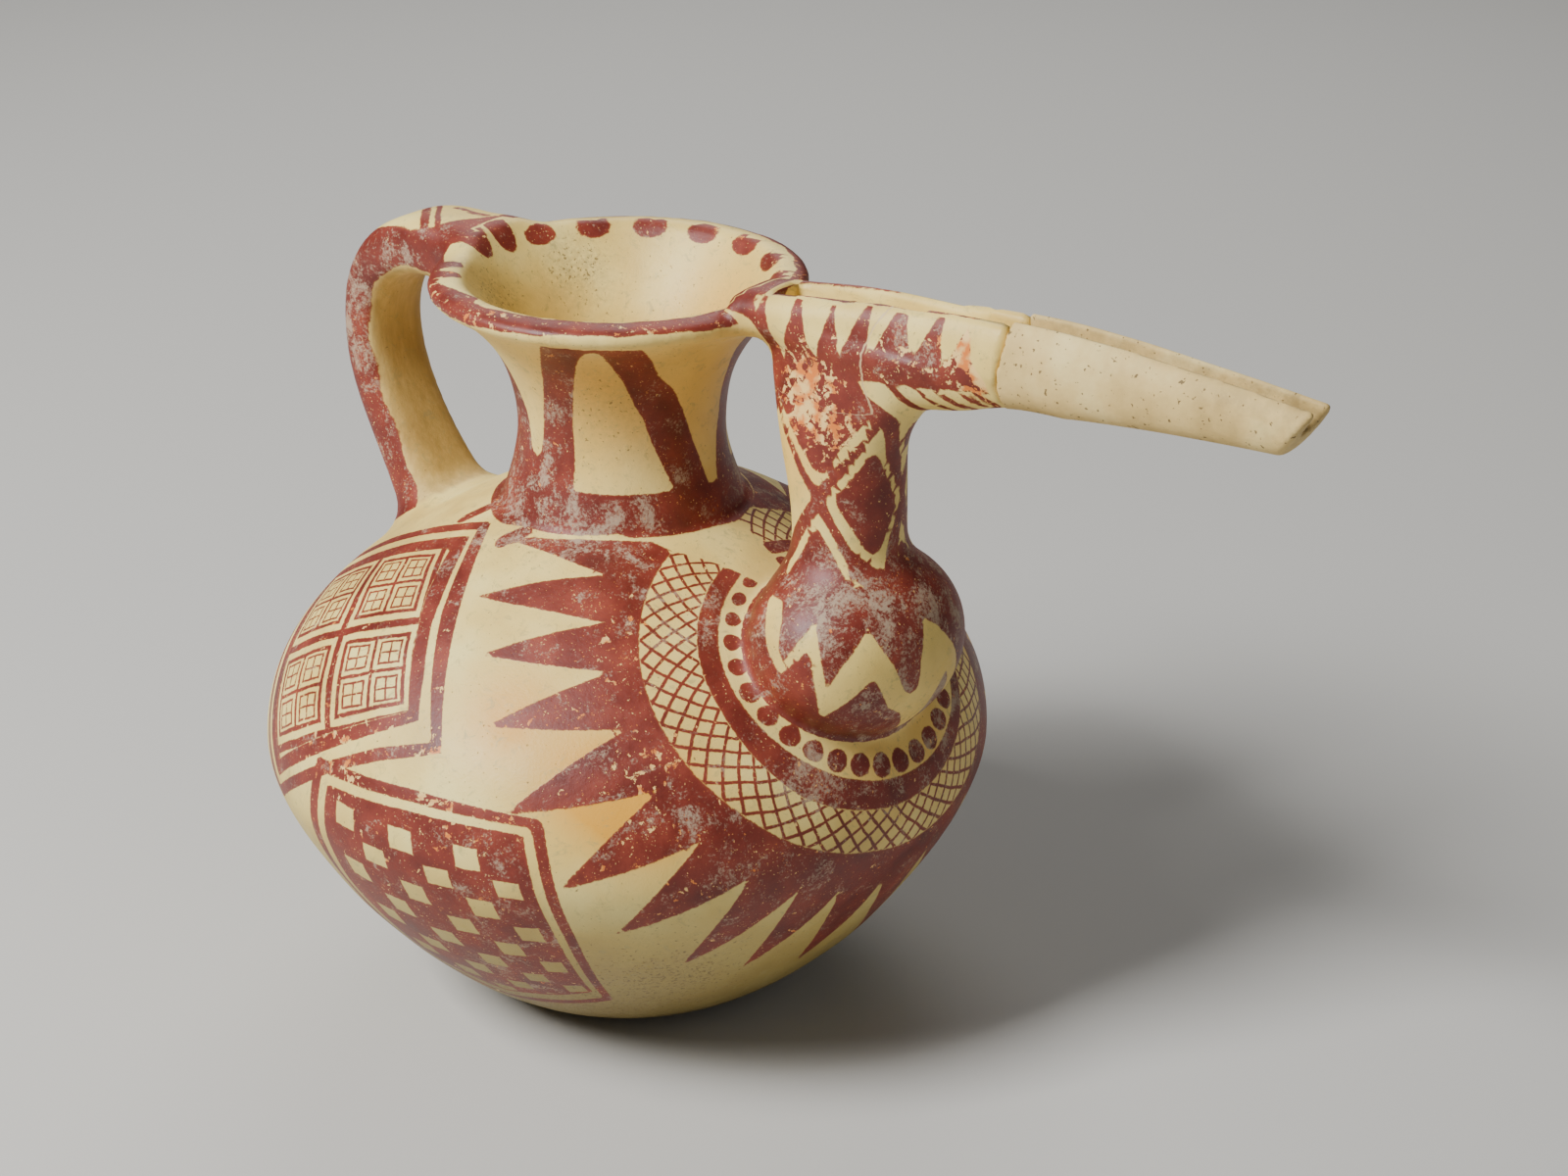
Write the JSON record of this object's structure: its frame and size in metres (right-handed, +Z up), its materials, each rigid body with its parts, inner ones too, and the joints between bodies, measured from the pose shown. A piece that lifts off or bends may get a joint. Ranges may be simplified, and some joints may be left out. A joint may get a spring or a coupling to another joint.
{
  "type": "spouted jar",
  "caption": "Painted clay jar with a round body, flared mouth, strap handle and a tall spout ending in a long open beak, for pouring liquid.",
  "frame": {"origin": "centre of the flat underside, on the vessel's axis", "axes": "+Z up, +X towards the tip of the spout, -X the handle, +Y completes the right-handed set"},
  "size_m": [0.2473, 0.16, 0.1758],
  "materials": {
    "painted_clay": "burnished cream slip painted in dark red, worn, with pale bloom and orange flakes",
    "plain_beak": "matt unpainted beige, finely pitted, grey dirt at the tip"
  },
  "bodies": {
    "root": {"jar": "painted_clay", "beak_end": "plain_beak"}
  },
  "joints": []
}
